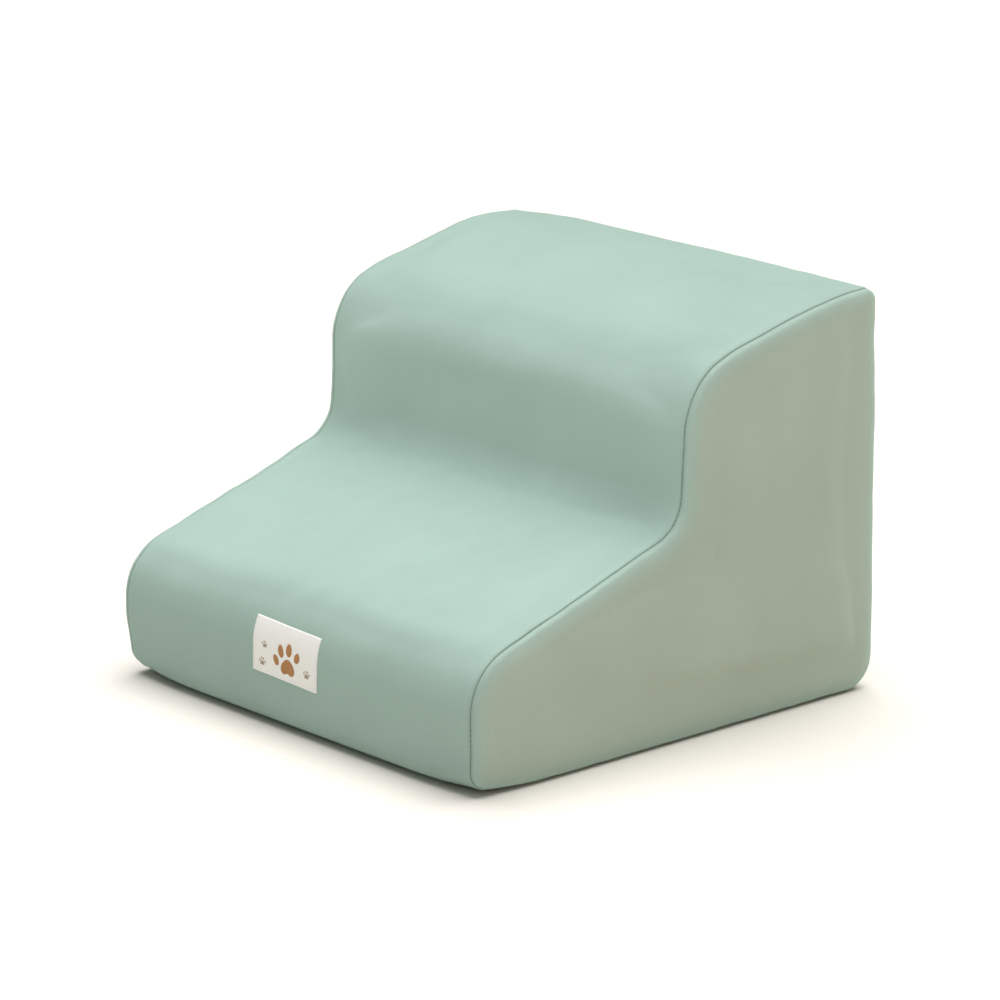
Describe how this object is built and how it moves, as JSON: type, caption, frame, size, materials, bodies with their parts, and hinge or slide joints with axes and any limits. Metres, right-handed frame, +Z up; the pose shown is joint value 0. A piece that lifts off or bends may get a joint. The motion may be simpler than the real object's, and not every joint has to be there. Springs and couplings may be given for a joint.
{
  "type": "pet ramp",
  "caption": "Low two-step foam pet ramp with sloping treads, a zipped soft fabric cover, a non-slip base and a small sewn label on the front.",
  "frame": {"origin": "on the floor under the middle of the object's overall box", "axes": "+X to the right side seen from the front, +Y from the low front step to the tall back, +Z up"},
  "size_m": [0.4, 0.4008, 0.3049],
  "materials": {
    "cover_fabric": "matte",
    "side_fabric": "matte",
    "base_fabric": "matte",
    "grip_rubber": "matte",
    "liner_fabric": "matte",
    "foam": "matte",
    "soft_foam": "matte",
    "firm_foam": "matte",
    "seam_thread": "matte",
    "label_cloth": "matte",
    "label_thread": "matte",
    "zip_tape": "matte",
    "zip_coil": "satin",
    "zip_metal": "satin"
  },
  "bodies": {
    "ramp": {"base_board": "firm_foam", "core_lower_block": "foam", "core_upper_block": "foam", "lower_tread_topper": "soft_foam", "upper_tread_topper": "soft_foam", "inner_liner": "liner_fabric", "cover_tread_panel": "cover_fabric", "cover_side_right": "side_fabric", "cover_side_left": "side_fabric", "cover_back": "side_fabric", "cover_heel_strip": "side_fabric", "cover_base": "base_fabric", "grip_dots": "grip_rubber", "side_seam_right": "seam_thread", "side_seam_left": "seam_thread", "back_top_seam": "seam_thread", "front_base_seam": "seam_thread", "heel_base_seam": "seam_thread", "paw_label": "label_cloth", "label_stitching": "label_thread", "zip_tape_upper": "zip_tape", "zip_tape_lower": "zip_tape", "zip_coil_upper": "zip_coil", "zip_coil_lower": "zip_coil", "zip_top_stop": "zip_metal", "zip_bottom_stop": "zip_metal", "zip_topstitching": "seam_thread"},
    "slider": {"zip_slider": "zip_metal"},
    "pull_tab": {"zip_pull_tab": "zip_metal"}
  },
  "joints": [
    {"name": "zip_travel", "type": "slide", "parent": "ramp", "child": "slider", "axis": [-1, 0, 0], "range_m": [0, 0.3304]},
    {"name": "pull_tab_swing", "type": "hinge", "parent": "slider", "child": "pull_tab", "pos_m": [0.1652, 0.19845, 0.042], "axis": [0, 0, -1], "range_deg": [0, 170]}
  ]
}
